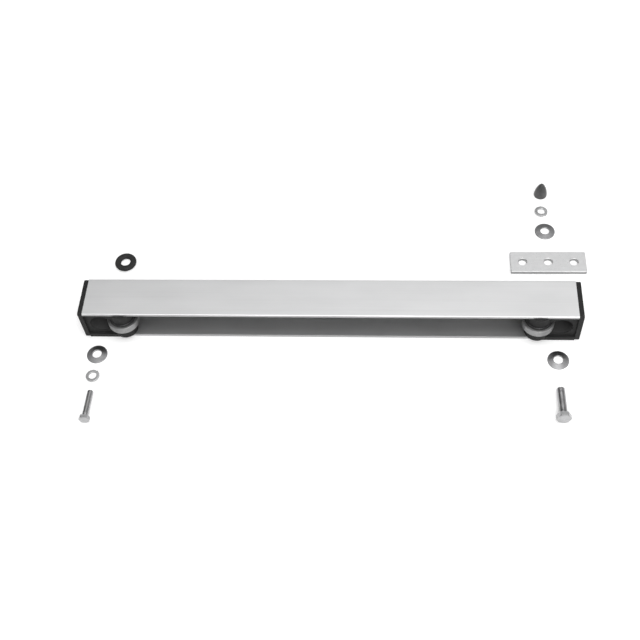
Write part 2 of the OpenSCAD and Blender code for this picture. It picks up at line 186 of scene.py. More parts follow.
def threaded_rod(radius, pitch, length, tip_radius, neck=1.5, around=40, per_turn=10):
    """A rod up the Z axis with a metric thread, from its neck at 0 to its chamfered tip.

    Rows follow the helix: a point at turn t of row s has z = s + pitch * t / 360 degrees, and a
    radius that falls from the crest to the root and back over one pitch of s. Near the ends the
    radius is at most the root's plus the distance from the end, and z is cut off at both ends.
    """
    root = radius - THREAD_DEPTH * pitch
    rows = per_turn * (int(length / pitch) + 3)
    share = (np.arange(rows) % per_turn) / per_turn
    flank = np.clip((np.abs(share - 0.5) * 2 - THREAD_ROOT) / THREAD_FLANKS, 0, 1)
    turn = np.arange(around) / around
    z = (np.arange(rows)[:, None] / per_turn - 1) * pitch + pitch * turn[None, :]
    z = np.clip(z, 0, length)
    thread = (radius + (root - radius) * (1 - flank))[:, None]
    limit = np.minimum(root + np.maximum(z - neck, 0), tip_radius + (length - z) * TIP_SLOPE)
    r = np.minimum(thread, limit)
    x, y = r * np.cos(2 * np.pi * turn), r * np.sin(2 * np.pi * turn)
    points = np.stack([x, y, z], axis=-1).reshape(-1, 3)
    row, column = np.meshgrid(np.arange(rows - 1), np.arange(around), indexing="ij")
    climb = np.where(column == around - 1, per_turn, 0)
    low, high = np.minimum(row + climb, rows - 1), np.minimum(row + 1 + climb, rows - 1)
    following = (column + 1) % around
    quads = [row * around + column, low * around + following,
             high * around + following, (row + 1) * around + column]
    faces = np.stack(quads, axis=-1).reshape(-1, 4).tolist()
    ends = [list(range(around))[::-1], list(range((rows - 1) * around, rows * around))]
    return points, faces + ends


# ---------------------------------------------------------------- meshes


def loose_mesh(name, shell):
    """A mesh in metres with its doubles merged and its faces pointing outwards."""
    points, faces = shell
    mesh = bpy.data.meshes.new(name)
    mesh.from_pydata((np.asarray(points) * MM).tolist(), [], faces)
    tidy = bmesh.new()
    tidy.from_mesh(mesh)
    bmesh.ops.remove_doubles(tidy, verts=tidy.verts, dist=1e-6)
    bmesh.ops.dissolve_degenerate(tidy, edges=tidy.edges, dist=1e-7)
    bmesh.ops.recalc_face_normals(tidy, faces=tidy.faces)
    tidy.to_mesh(mesh)
    tidy.free()
    return mesh


def cut_mesh(name, body, tools):
    """The mesh of a shell less its tools, cut exactly."""
    parts = []
    for label, shell in (("body", body), ("tools", tools)):
        mesh = shell if isinstance(shell, bpy.types.Mesh) else loose_mesh(label, shell)
        part = bpy.data.objects.new(label, mesh)
        bpy.context.scene.collection.objects.link(part)
        parts.append(part)
    cut = parts[0].modifiers.new("cut", "BOOLEAN")
    cut.object = parts[1]
    cut.operation = "DIFFERENCE"
    cut.solver = "EXACT"
    cut.use_self = True
    seen = parts[0].evaluated_get(bpy.context.evaluated_depsgraph_get())
    mesh = bpy.data.meshes.new_from_object(seen)
    mesh.name = name
    for part in parts:
        bpy.data.objects.remove(part)
    return mesh


def add_piece(name, node, shape, crease=32, edge=0.0):
    """A piece that stands for a CAD node: it takes that node's body, slot and finish.

    An edge in millimetres rounds its sharp edges, and flat faces keep their own normals beside a round.
    """
    mesh = shape if isinstance(shape, bpy.types.Mesh) else loose_mesh(name, shape)
    mesh.name = name
    mesh.polygons.foreach_set("use_smooth", np.ones(len(mesh.polygons), bool))
    mesh.set_sharp_from_angle(angle=math.radians(crease))
    mesh.materials.clear()
    mesh.materials.append(finishes[part_slots[node]])
    piece = bpy.data.objects.new(name, mesh)
    bpy.context.scene.collection.objects.link(piece)
    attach(piece, part_bodies[node])
    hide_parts(node)
    if edge:
        bevel = piece.modifiers.new("edges", "BEVEL")
        bevel.width = edge * MM
        bevel.segments = 2
        bevel.limit_method = "ANGLE"
        bevel.angle_limit = math.radians(40)
        bevel.use_clamp_overlap = True
        bevel.miter_outer = "MITER_ARC"
    flats = piece.modifiers.new("flats", "WEIGHTED_NORMAL")
    flats.mode = "FACE_AREA"
    flats.weight = 100
    flats.keep_sharp = True
    return piece


def softened(name, node, edge):
    """The CAD node's own shape with every sharp edge rounded, as a moulding has it."""
    tidy = bmesh.new()
    tidy.from_mesh(frame["nodes"][node].data)
    bmesh.ops.remove_doubles(tidy, verts=tidy.verts, dist=1e-6)
    bmesh.ops.dissolve_limit(tidy, angle_limit=math.radians(1), verts=tidy.verts, edges=tidy.edges)
    mesh = bpy.data.meshes.new(name)
    tidy.to_mesh(mesh)
    tidy.free()
    return add_piece(name, node, mesh, edge=edge)


# ---------------------------------------------------------------- finishes


class Value:
    """A number that a shader works out at each point; arithmetic on it adds Math nodes."""

    def __init__(self, finish, socket):
        self.finish = finish
        self.socket = socket

    def math(self, operation, *others):
        values = dict(enumerate((self, *others)))
        return Value(self.finish, self.finish.node("Math", {"operation": operation}, values).outputs[0])

    def __add__(self, other):
        return self.math("ADD", other)

    def __sub__(self, other):
        return self.math("SUBTRACT", other)

    def __rsub__(self, other):
        return (self * -1).math("ADD", other)

    def __mul__(self, other):
        return self.math("MULTIPLY", other)

    def __truediv__(self, other):
        return self.math("DIVIDE", other)

    def __pow__(self, other):
        return self.math("POWER", other)

    __radd__ = __add__
    __rmul__ = __mul__

    def within(self, low, high):
        """0 below low, 1 above high, and evenly between."""
        return ((self - low) / (high - low)).math("MAXIMUM", 0.0).math("MINIMUM", 1.0)


class Finish:
    """The nodes of one procedural material, or of the room's light. A material's patterns read Object
    coordinates, in metres, and feed a Principled shader.
    """

    def __init__(self, name, world=None):
        self.material = world or bpy.data.materials.new(name)
        self.material.use_nodes = True
        self.tree = self.material.node_tree
        self.tree.nodes.clear()
        self.place = self.node("TexCoord").outputs["Object"]

    def node(self, kind, settings=None, values=None):
        """Adds a node of that type, with its settings first and then its sockets' values or links."""
        made = self.tree.nodes.new("ShaderNode" + kind)
        for name, setting in (settings or {}).items():
            setattr(made, name, setting)
        for key, value in (values or {}).items():
            source = getattr(value, "socket", value)
            if isinstance(source, bpy.types.NodeSocket):
                self.tree.links.new(source, made.inputs[key])
            else:
                made.inputs[key].default_value = source
        return made

    def noise(self, grain, detail=3.0, shift=0.0):
        """Cloudy noise about 0.5, whose grain is that many millimetres long on each axis."""
        stretch = [1 / (length * MM) for length in grain]
        spread = self.node("VectorMath", {"operation": "MULTIPLY"}, {0: self.place, 1: stretch})
        slid = self.node("VectorMath", {"operation": "ADD"}, {0: spread.outputs[0], 1: (shift, shift, shift)})
        cloud = self.node("TexNoise", None, {"Vector": slid.outputs[0], "Scale": 1.0, "Detail": detail})
        return Value(self, cloud.outputs[0])

    def along(self, axis):
        """The place along the X, Y or Z axis, in metres."""
        split = self.node("SeparateXYZ", None, {0: self.place})
        return Value(self, split.outputs[axis])

    def edges(self, reach):
        """1 on an edge and 0 on a flat: how far the normal of a rounded edge leans from the true one."""
        soft = self.node("Bevel", {"samples": 6}, {"Radius": reach * MM})
        true = self.node("NewGeometry")
        both = {0: soft.outputs[0], 1: true.outputs["Normal"]}
        lean = self.node("VectorMath", {"operation": "DOT_PRODUCT"}, both)
        return (1 - Value(self, lean.outputs["Value"])).within(0.02, 0.22)

    def scratches(self, length, width, share, shift):
        """Thin lines where stretched noise crosses its middle, kept only in some places."""
        ridge = (self.noise((length, width, width), 1.0, shift) - 0.5).math("ABSOLUTE")
        patch = self.noise((9, 9, 9), 2.0, shift + 7).within(1 - share, 1 - share + 0.08)
        return (1 - ridge.within(0.0, 0.012)) * patch

    def mixed(self, first, second, factor):
        """One colour turning into another as the factor goes from 0 to 1."""
        blend = self.node("Mix", {"data_type": "RGBA"}, {0: factor, 6: shade(first), 7: shade(second)})
        return blend.outputs[2]

    def bumps(self, height, depth, strength=1.0):
        """A normal from a height of 0 to 1 that stands for a depth in millimetres."""
        values = {"Height": height, "Distance": depth * MM, "Strength": strength}
        return self.node("Bump", None, values).outputs[0]

    def done(self, colour, roughness, normal, metallic=0.0, **constants):
        """Links the shader and hands back the material; constants are set on the shader's sockets."""
        values = {"Base Color": colour, "Roughness": roughness, "Normal": normal, "Metallic": metallic}
        values.update({name.replace("_", " "): value for name, value in constants.items()})
        shader = self.node("BsdfPrincipled", None, values)
        self.node("OutputMaterial", None, {"Surface": shader.outputs[0]})
        return self.material


def shade(colour):
    """A grey or a colour as four channels; a link is left as it is."""
    if isinstance(colour, bpy.types.NodeSocket):
        return colour
    if isinstance(colour, (int, float)):
        colour = (colour, colour, colour)
    return (*colour, 1.0)


def drawn_aluminium():
    """Satin extrusion: die lines along the rail and a faint cloudiness. The fascia's top and the web's
    back are satin; every other face is rougher and painted darker as painted shade, and the outer faces'
    edges are lighter, partly wear and partly a painted highlight.
    """
    f = Finish("satin_aluminium")
    fine = f.noise((140, 0.35, 0.35), 4.0)
    broad = f.noise((420, 3.2, 3.2), 2.0, 3.0)
    cloud = f.noise((60, 22, 22), 3.0, 9.0)
    lines = fine * 0.6 + broad * 0.4
    tone = (lines * 0.55 + cloud * 0.45).within(0.3, 0.7)
    scuffs = f.scratches(18, 0.25, 0.38, 21.0)
    edge = f.edges(0.5)
    # Painted shade: every face except the fascia's top and the web's back gets the darker grey below. It
    # stands in for the shade inside the channel and on its front edges.
    outer_faces_unshaded = f.along(2).within(*FASCIA_TOP).math("MAXIMUM", f.along(1).within(*WEB_BACK))
    satin = f.mixed((0.72, 0.722, 0.726), (0.80, 0.802, 0.805), tone)
    painted_shade_grey = f.mixed((0.42, 0.421, 0.424), (0.48, 0.481, 0.483), tone)
    base = f.mixed(painted_shade_grey, satin, outer_faces_unshaded)
    # The outer faces' edges are painted lighter, partly as wear and partly as a painted highlight along the
    # rounds. The scratches are wear.
    colour = f.mixed(base, 0.90, (edge * 0.35 + scuffs * 0.2) * outer_faces_unshaded)
    roughness = 0.50 - outer_faces_unshaded * 0.12 + lines * 0.12 + cloud * 0.06 - scuffs * 0.08
    height = lines * 0.8 + f.noise((0.3, 0.3, 0.3), 2.0) * 0.35 - scuffs * 0.3
    return f.done(colour, roughness, f.bumps(height, 0.012), 1.0)


def black_plastic(name, tone, gloss, texture, wear, sheen=0.45, mould_bloom_and_pocket_light=0.0):
    """Moulded plastic: an etched grain, flow clouds, rubbed edges, light scratches and dust. Painted light
    makes it paler inside the bolt pockets, lifting the shade there.
    """
    f = Finish(name)
    grain = f.noise((texture, texture, texture), 2.0)
    cloud = f.noise((14, 14, 14), 4.0, 5.0)
    dust = f.noise((1.6, 1.6, 1.6), 5.0, 11.0).within(0.56, 0.74)
    scuffs = f.scratches(6, 0.16, 0.40, 2.0)
    edge = f.edges(0.45)
    base = f.mixed(tone * 0.75, tone * 1.3, cloud.within(0.3, 0.7))
    worn = (edge * wear + scuffs * 0.35 + dust * 0.12).math("MINIMUM", 1.0)
    # Painted light: the colour is paler inside the bolt pockets, lifting the shade in those recesses.
    across = f.along(0).math("ABSOLUTE") - POCKET_PLACE[0]
    up = f.along(2) - POCKET_PLACE[1]
    from_axis = (across * across + up * up) ** 0.5
    pocket_light_mask = (1 - from_axis.within(*POCKET_EDGE)) * f.along(1).within(*POCKET_MOUTH)
    colour = f.mixed(f.mixed(base, tone + mould_bloom_and_pocket_light, pocket_light_mask), tone + 0.11, worn)
    roughness = gloss + grain * 0.16 + cloud * 0.10 - edge * 0.08
    height = grain * 0.8 + f.noise((texture * 4, texture * 4, texture * 4), 2.0, 4.0) * 0.5 - scuffs * 0.4
    return f.done(colour, roughness, f.bumps(height, 0.03), 0.0, Specular_IOR_Level=sheen)


def rubber():
    """Matt rubber: a sooty grain, paler mould-bloomed clouds, specks of dust and greyed edges."""
    f = Finish("black_rubber")
    grain = f.noise((0.28, 0.28, 0.28), 4.0)
    mould_bloom_and_pocket_light = f.noise((5, 5, 5), 4.0, 3.0).within(0.35, 0.75)
    specks = f.noise((0.5, 0.5, 0.5), 1.0, 17.0).within(0.70, 0.76)
    edge = f.edges(0.8)
    colour = f.mixed(f.mixed(0.011, 0.024, mould_bloom_and_pocket_light), 0.09, edge * 0.25 + specks * 0.5)
    roughness = 0.62 + grain * 0.2 + mould_bloom_and_pocket_light * 0.08
    return f.done(colour, roughness, f.bumps(grain, 0.05), 0.0, Specular_IOR_Level=0.4)


def zinc(name, dark, light, polish, grain, wear=0.5, sheared=None):
    """Zinc plate on steel: a grain, spangled clouds, matt spots, scratches and rubbed edges. Sheared, it
    is darker below the first of those heights and comes clean by the second, in millimetres.
    """
    f = Finish(name)
    lines = f.noise(grain, 3.0)
    cloud = f.noise((4.5, 4.5, 4.5), 4.0, 6.0)
    spots = f.noise((0.9, 0.9, 0.9), 2.0, 13.0).within(0.62, 0.74)
    scuffs = f.scratches(5, 0.14, 0.44, 4.0)
    edge = f.edges(0.3)
    base = f.mixed(dark, light, (lines * 0.5 + cloud * 0.5).within(0.34, 0.66))
    dulled = f.mixed(base, [channel * 0.72 for channel in dark], spots * 0.5)
    if sheared:
        face = f.along(2).within(*(height * MM for height in sheared))
        dulled = f.mixed([channel * 0.45 for channel in dark], dulled, face)
    colour = f.mixed(dulled, 0.93, (edge * wear + scuffs * 0.3).math("MINIMUM", 1.0))
    roughness = polish + lines * 0.10 + cloud * 0.12 + spots * 0.16 - edge * 0.06 - scuffs * 0.05
    height = lines * 0.5 + f.noise((0.35, 0.35, 0.35), 3.0, 8.0) * 0.4 - scuffs * 0.5
    return f.done(colour, roughness, f.bumps(height, 0.014), 1.0)


def turned(name, dark, light, polish, metallic, depth, wheel):
    """Turned on a lathe about the roller's axle: rings by distance from it, and by height on the rim."""
    f = Finish(name)
    across = f.along(0).math("ABSOLUTE") - wheel[0] * MM
    deep = f.along(1) - wheel[1] * MM
    radius = (across * across + deep * deep) ** 0.5
    by_radius = f.node("CombineXYZ", None, {0: radius, 1: f.along(2), 2: 0.0})
    ring_noise = f.node("TexNoise", None, {"Vector": by_radius.outputs[0], "Scale": 4200.0, "Detail": 3.0})
    rings = Value(f, ring_noise.outputs[0])
    cloud = f.noise((3.5, 3.5, 3.5), 4.0, 2.0)
    grime = f.noise((1.2, 1.2, 1.2), 4.0, 12.0).within(0.55, 0.72)
    edge = f.edges(0.3)
    base = f.mixed(dark, light, (rings * 0.6 + cloud * 0.4).within(0.34, 0.66))
    soiled = f.mixed(base, [channel * 0.6 for channel in dark], grime * 0.45)
    colour = f.mixed(soiled, [channel + (1 - channel) * 0.35 for channel in light], edge * 0.5)
    roughness = polish + rings * 0.14 + cloud * 0.08 + grime * 0.12
    height = rings * 0.7 + f.noise((0.3, 0.3, 0.3), 2.0) * 0.3
    return f.done(colour, roughness, f.bumps(height, depth), metallic)


# The rail's two outer faces are satin, and every other face gets painted shade: where that changes, below
# the fascia's top and in front of the web's back, in metres.
rail_low, rail_high = box_mm("rail_channel")
FASCIA_TOP = ((rail_high[2] - 0.7) * MM, (rail_high[2] - 0.3) * MM)
WEB_BACK = ((rail_high[1] - 0.9) * MM, (rail_high[1] - 0.5) * MM)
# The bolt pockets in the blocks, in line with the rail's fixing holes, where the moulding gets painted light:
# their place in X and Z, where their wall is, and where their mouth is in Y.
HOLE_FROM_END = 15.0
POCKET_RADIUS = 11.5
BLOCK_SETBACK = 2.5
POCKET_PLACE = ((rail_high[0] - HOLE_FROM_END) * MM, (rail_low[2] + rail_high[2]) / 2 * MM)
POCKET_EDGE = (POCKET_RADIUS * MM, (POCKET_RADIUS + 0.3) * MM)
POCKET_MOUTH = ((rail_low[1] + BLOCK_SETBACK + 0.2) * MM, (rail_low[1] + BLOCK_SETBACK + 1.2) * MM)

# The roller's axle, and with it the bearing, from the tread ring's box.
tyre_low, tyre_high = box_mm("right_wheel_tyre")
axle_place = (tyre_low + tyre_high) / 2

finishes = {
    "satin_aluminium": drawn_aluminium(),
    # The black moulding's 0.035 makes it paler inside the bolt pockets: painted light lifting their shade.
    "black_moulding": black_plastic(
        "black_moulding", tone=0.016, gloss=0.5, texture=0.30, wear=0.12, sheen=0.2, mould_bloom_and_pocket_light=0.035),
    "dark_moulding": black_plastic("dark_moulding", tone=0.055, gloss=0.24, texture=0.55, wear=0.25),
    "black_rubber": rubber(),
    "wheel_moulding": turned(
        "wheel_moulding", (0.022,) * 3, (0.036,) * 3,
        polish=0.38, metallic=0.0, depth=0.03, wheel=axle_place),
    "tread_steel": turned(
        "tread_steel", (0.24,) * 3, (0.34,) * 3,
        polish=0.34, metallic=0.9, depth=0.012, wheel=axle_place),
    "bearing_steel": turned(
        "bearing_steel", (0.15, 0.15, 0.155), (0.26, 0.26, 0.265),
        polish=0.24, metallic=1.0, depth=0.006, wheel=axle_place),
    "cage_brass": turned(
        "cage_brass", (0.50, 0.38, 0.17), (0.66, 0.52, 0.25),
        polish=0.26, metallic=1.0, depth=0.01, wheel=axle_place),
    "zinc_steel": zinc(
        "zinc_steel", (0.38, 0.383, 0.386), (0.52, 0.523, 0.526),
        polish=0.24, grain=(3, 0.5, 0.5), wear=0.3),
    "washer_steel": zinc(
        "washer_steel", (0.24, 0.24, 0.245), (0.36, 0.36, 0.365),
        polish=0.20, grain=(3, 0.5, 0.5), wear=0.35),
    "zinc_plate": zinc(
        "zinc_plate", (0.72, 0.722, 0.725), (0.79, 0.792, 0.795),
        polish=0.36, grain=(26, 0.4, 0.4), wear=0.15, sheared=(3.3, 3.7)),
    "bolt_steel": zinc(
        "bolt_steel", (0.36, 0.36, 0.364), (0.50, 0.50, 0.504),
        polish=0.22, grain=(0.5, 3, 0.5), wear=0.35),
    "screw_steel": zinc(
        "screw_steel", (0.30, 0.30, 0.305), (0.44, 0.44, 0.445), polish=0.30, grain=(1, 1, 1)),
}

# ---------------------------------------------------------------- the rail

# Here and below, a hole's, a corner's and an edge's size is its radius.
WALL = 3.0
LIP_SETBACK = 1.5
OUTSIDE_CORNER = 1.0
INSIDE_CORNER = 0.5
FREE_EDGE = 0.35
RIB_PLACE = (5.0, 7.0)
RIB_HEIGHT = 1.2
RIB_CORNER = 0.3
RIB_FOOT = 0.2
FIXING_HOLE = 4.5
HOLE_CHAMFER = 0.35

ALONG_X = ((0, 0, 1), (1, 0, 0), (0, 1, 0))
FACING_Y = ((1, 0, 0), (0, 0, 1), (0, -1, 0))


def hole_tool(radius, depth, chamfer):
    """A drill for a hole through a wall from 0 down to its depth, flared by a chamfer at both faces."""
    flare = chamfer + 1.0
    return lathe([(0, 1), (radius + flare, 1), (radius, -chamfer), (radius, chamfer - depth),
                  (radius + flare, -depth - 1), (0, -depth - 1)], 64)


def rail_shape():
    """The channel's section, (y, z), swept along X, with a fixing hole near each end of its web."""
    low, high = box_mm("rail_channel")
    front, back, top = low[1], high[1], high[2]
    lip = front + LIP_SETBACK
    web = back - WALL
    rib_front, rib_back = RIB_PLACE
    section = [
        (lip, 0), (back, 0), (back, top), (front, top), (front, top - WALL),
        (rib_front, top - WALL), (rib_front, top - WALL - RIB_HEIGHT),
        (rib_back, top - WALL - RIB_HEIGHT), (rib_back, top - WALL), (web, top - WALL),
        (web, WALL), (rib_back, WALL), (rib_back, WALL + RIB_HEIGHT),
        (rib_front, WALL + RIB_HEIGHT), (rib_front, WALL), (lip, WALL),
    ]
    rib = [RIB_FOOT, RIB_CORNER, RIB_CORNER, RIB_FOOT]
    radii = [FREE_EDGE, OUTSIDE_CORNER, OUTSIDE_CORNER, OUTSIDE_CORNER, FREE_EDGE, *rib,
             INSIDE_CORNER, INSIDE_CORNER, *rib, FREE_EDGE]
    outline = rounded(section, radii, 5)
    stations = np.linspace(low[0], high[0], 25)
    loops = [np.column_stack([np.full(len(outline), x), outline]) for x in stations]
    drill = hole_tool(FIXING_HOLE, WALL, HOLE_CHAMFER)
    drills = [moved(drill, (x, back, (top + low[2]) / 2), FACING_Y)
              for x in (low[0] + HOLE_FROM_END, high[0] - HOLE_FROM_END)]
    return cut_mesh("rail", skinned(loops), joined(*drills))


add_piece("rail", "rail_channel", rail_shape())

# ---------------------------------------------------------------- the roller units

CAP_CORNER = 2.5
CAP_SCREW_HEIGHTS = (7.8, 32.2)
CAP_SCREW_LENGTH = 10.0
CAP_SCREW_PITCH = 0.7
CAP_HEAD_RADIUS = 3.5
CAP_HEAD_HEIGHT = 2.2
CAP_RECESS = 2.6
SCREW_RADIUS = 2.0
# How far a cap screw's shank starts inside its head.
SUNK = 0.4
# Distances from the axle follow, apart from the balls' own size and their groove's, and the gap of a fit.
FIT = 0.02
BORE = 4.02
BALL_COUNT = 7
BALL_RADIUS = 1.95
BALL_CIRCLE = 7.5
GROOVE_RADIUS = 1.99
INNER_RACE = 6.0
OUTER_RACE = 9.0
BEARING_RADIUS = 11.0
SEAL_THICKNESS = 0.6
# The groove in a seal's face, by its distance from the axle: its edges and the ends of its floor.
SEAL_GROOVE = (7.0, 7.15, 7.75, 7.9)
TREAD_WALL = 2.5
TREAD_CROWN = 0.1


def cap_shape():
    """The end cap: a slab set on edge, its outer edge rounded, with a stepped hole for each screw."""
    low, high = box_mm("right_end_cap")
    width, height, thickness = high[1] - low[1], high[2] - low[2], high[0] - low[0]
    middle = (low + high) / 2
    plain = slab(width, height, thickness, CAP_CORNER, low_edge=0.3, high_edge=1.0)
    body = moved(plain, (low[0], middle[1], middle[2]), ALONG_X)
    hole, seat = SCREW_RADIUS + FIT, CAP_HEAD_RADIUS + 0.3
    floor = thickness - CAP_RECESS
    drill = lathe([(0, -1), (hole, -1), (hole, floor), (seat, floor), (seat, thickness - 0.4),
                   (seat + 1.4, thickness + 1), (0, thickness + 1)], 48)
    drills = [moved(drill, (low[0], 0, z), ALONG_X) for z in CAP_SCREW_HEIGHTS]
    return cut_mesh("cap", body, joined(*drills))


def cap_screws_shape():
    """Two cheese-head screws with a hexagon socket and a fine thread, pointing into the housing."""
    seat = box_mm("right_cap_screws")[1][0] - CAP_HEAD_HEIGHT
    top = CAP_HEAD_HEIGHT
    crown = rounded([(0, 0), (CAP_HEAD_RADIUS, 0), (CAP_HEAD_RADIUS, top), (0, top)], [0, 0.15, 0.5, 0], 4)
    # A corner on the axis is five points in one place, and the lathe takes one point at each pole.
    head = lathe(crown[4:-4], 64)
    length = CAP_SCREW_LENGTH + SUNK
    rod = threaded_rod(SCREW_RADIUS, CAP_SCREW_PITCH, length, tip_radius=1.4, neck=0.6, around=28, per_turn=8)
    rod = moved(rod, (0, 0, SUNK), ((1, 0, 0), (0, -1, 0), (0, 0, -1)))
    screw = joined(head, rod)
    socket = lathe([(0, top - 1.2), (1.5, top - 1.2), (1.5, top - 0.25), (2.2, top + 0.5), (0, top + 0.5)], 6)
    screws = [moved(screw, (seat, 0, z), ALONG_X) for z in CAP_SCREW_HEIGHTS]
    sockets = [moved(socket, (seat, 0, z), ALONG_X) for z in CAP_SCREW_HEIGHTS]
    return cut_mesh("cap_screws", joined(*screws), joined(*sockets))


def ring_profile(inner, outer, low, high, edges):
    """A ring's section, (radius, height), its four edges rounded: inside and outside of the foot first."""
    return rounded([(inner, low), (outer, low), (outer, high), (inner, high)], edges, 4)


def groove(radius, facing, mid):
    """The ball groove as it breaks through a race's wall: an arc about the ball circle, rising in z."""
    reach = math.acos(abs(radius - BALL_CIRCLE) / GROOVE_RADIUS)
    turn = np.linspace(-reach, reach, 15)
    return [(BALL_CIRCLE + facing * GROOVE_RADIUS * math.cos(a), mid + GROOVE_RADIUS * math.sin(a))
            for a in turn]


def axle_shape(low, high):
    """The axle: a pin with rounded ends and a centre mark at each."""
    r = (high[0] - low[0]) / 2
    half = [(r - 0.6, 0), (r - 0.3, 0.12), (r - 0.12, 0.3), (r, 0.6)]
    foot = [(0, 0.7), (0.7, 0), *half]
    height = high[2] - low[2]
    return lathe(foot + [(radius, height - z) for radius, z in foot[::-1]], 64)


def spacers_shape(low, high):
    """The two spacers that hold the inner race off the housing's arms."""
    radius, height = (high[0] - low[0]) / 2, high[2] - low[2]
    face = 2.0
    return joined(*[lathe(ring_profile(BORE, radius, z, z + face, 0.18), 64) for z in (0, height - face)])


def inner_race_shape(low, high):
    """The inner race: a ring with rounded edges and the ball groove round its outside."""
    width = high[2] - low[2]
    edge = ring_profile(BORE, INNER_RACE, 0, width, 0.25)
    foot, top = np.split(edge, 2)
    return lathe([*foot, *groove(INNER_RACE, -1, width / 2), *top])


def outer_race_shape(low, high):
    """The outer race: a ring with rounded edges and the ball groove inside."""
    width = high[2] - low[2]
    edge = ring_profile(OUTER_RACE, BEARING_RADIUS, 0, width, 0.25)
    return lathe([*edge, *groove(OUTER_RACE, 1, width / 2)[::-1]])


def balls_shape(low, high):
    """The balls, each one a half circle turned about its own axis, on the ball circle."""
    bend = np.linspace(-np.pi / 2, np.pi / 2, 17)
    half = np.column_stack([np.abs(np.cos(bend)) * BALL_RADIUS, np.sin(bend) * BALL_RADIUS])
    half[[0, -1], 0] = 0
    ball = lathe(half, 28)
    turns = np.arange(BALL_COUNT) * 2 * np.pi / BALL_COUNT
    return joined(*[moved(ball, (BALL_CIRCLE * math.cos(a), BALL_CIRCLE * math.sin(a), BALL_RADIUS))
                    for a in turns])


def cage_shape(low, high):
    """The cage: a thin ring with a round pocket drilled through it for each ball."""
    height = high[2] - low[2]
    outer = (high[1] - low[1]) / 2
    inner = outer - 1.0
    ring = lathe(ring_profile(inner, outer, 0, height, 0.15))
    reach = (inner - 1, outer + 1)
    pocket = lathe([(0, reach[0]), (GROOVE_RADIUS, reach[0]), (GROOVE_RADIUS, reach[1]), (0, reach[1])], 40)
    pockets = []
    for a in np.arange(BALL_COUNT) * 2 * np.pi / BALL_COUNT:
        outward = np.array([math.cos(a), math.sin(a), 0.0])
        beside = np.array([-math.sin(a), math.cos(a), 0.0])
        turn = np.column_stack([beside, np.array([0.0, 0.0, 1.0]), outward])
        pockets.append(moved(pocket, (0, 0, height / 2), turn))
    return cut_mesh("cage", ring, joined(*pockets))


def seals_shape(low, high):
    """The two seals: thin discs with a moulded groove, closing the gap between the races."""
    inner, outer, t = INNER_RACE + 0.3, OUTER_RACE - FIT, SEAL_THICKNESS
    height = high[2] - low[2]
    near, near_floor, far_floor, far = SEAL_GROOVE
    face = [(inner, t * 0.75), (inner + 0.3, t), (near, t), (near_floor, t * 0.55), (far_floor, t * 0.55),
            (far, t), (outer - 0.25, t), (outer, t - 0.2)]
    back = [(outer, 0.1), (outer - 0.1, 0), (inner + 0.1, 0), (inner, 0.1)]
    top = lathe(face + back)
    low_one = [(radius, t - z) for radius, z in face + back]
    return joined(lathe(low_one), moved(top, (0, 0, height - t)))


def hub_shape(low, high):
    """The wheel's moulded hub: a ring with a turned relief and a lip in both faces."""
    outer, width = (high[0] - low[0]) / 2, high[2] - low[2]
    inner = BEARING_RADIUS + FIT
    face = [(inner, 0.25), (inner + 0.25, 0), (inner + 0.6, 0), (inner + 0.8, 0.45), (outer - 0.75, 0.45),
            (outer - 0.55, 0), (outer - 0.2, 0), (outer, 0.2)]
    return lathe(face + [(radius, width - z) for radius, z in face[::-1]])


def tyre_shape(low, high):
    """The tread ring: its rim is faintly crowned and its edges are well rounded."""
    outer, width = (high[0] - low[0]) / 2, high[2] - low[2]
    inner = outer - TREAD_WALL + FIT
    corners = [(inner, 0), (outer - TREAD_CROWN, 0), (outer, width * 0.35), (outer, width * 0.65),
               (outer - TREAD_CROWN, width), (inner, width)]
    return lathe(rounded(corners, [0.3, 0.7, 4, 4, 0.7, 0.3], 6), 160)


# Each is called with its piece's lowest and highest corner, and draws it round the axle from 0 up.
ROLLER_PARTS = {
    "axle": axle_shape, "axle_spacers": spacers_shape, "inner_race": inner_race_shape,
    "outer_race": outer_race_shape, "balls": balls_shape, "ball_cage": cage_shape,
    "bearing_seals": seals_shape, "wheel_hub": hub_shape, "wheel_tyre": tyre_shape,
}


def mirrored(mesh):
    """The same mesh for the left end, its faces turned back to point outwards."""
    copy = mesh.copy()
    copy.transform(Matrix.Diagonal((-1, 1, 1, 1)))
    copy.flip_normals()
    return copy


def add_both_ends(name, mesh, crease=32):
    """One mesh of the right-hand roller unit for the right end, and its mirror image for the left."""
    add_piece("left_" + name + "_piece", "left_" + name, mirrored(mesh), crease)
    add_piece("right_" + name + "_piece", "right_" + name, mesh, crease)


add_both_ends("end_cap", cap_shape())
add_both_ends("cap_screws", cap_screws_shape())
for part, shape in ROLLER_PARTS.items():
    foot, head = box_mm("right_" + part)
    made = shape(foot, head)
    if not isinstance(made, bpy.types.Mesh):
        made = loose_mesh(part, made)
    made.transform(Matrix.Translation(Vector((axle_place[0], axle_place[1], foot[2])) * MM))
    add_both_ends(part, made)
for side in ("left", "right"):
    softened(side + "_roller_housing_piece", side + "_roller_housing", 0.3)

# ---------------------------------------------------------------- the fixings

WASHER_HOLE = 4.75
WASHER_DISH = 0.8
SPRING_HOLE = 4.1
SPRING_RISE = 1.2
SPRING_SPLIT = 14.0
SPLIT_AT = {"left_spring_washer": 60.0, "rear_spring_washer": 300.0}
BOLT_LENGTH = 30.0
# Each bolt's shank radius, thread pitch, width across the flats and height of its head.
BOLTS = {"left_bolt": (3.0, 1.0, 10.0, 4.0), "right_bolt": (4.0, 1.25, 13.0, 5.3)}
BOLT_NECK = 2.4
# How far a bolt's shank starts inside its head.
BOLT_SUNK = 0.5
# In shares of a bolt's radius: its tip's radius, and a little more that keeps the leaning tip in its box.
TIP_SHARE = 0.78
TIP_REACH = 0.8
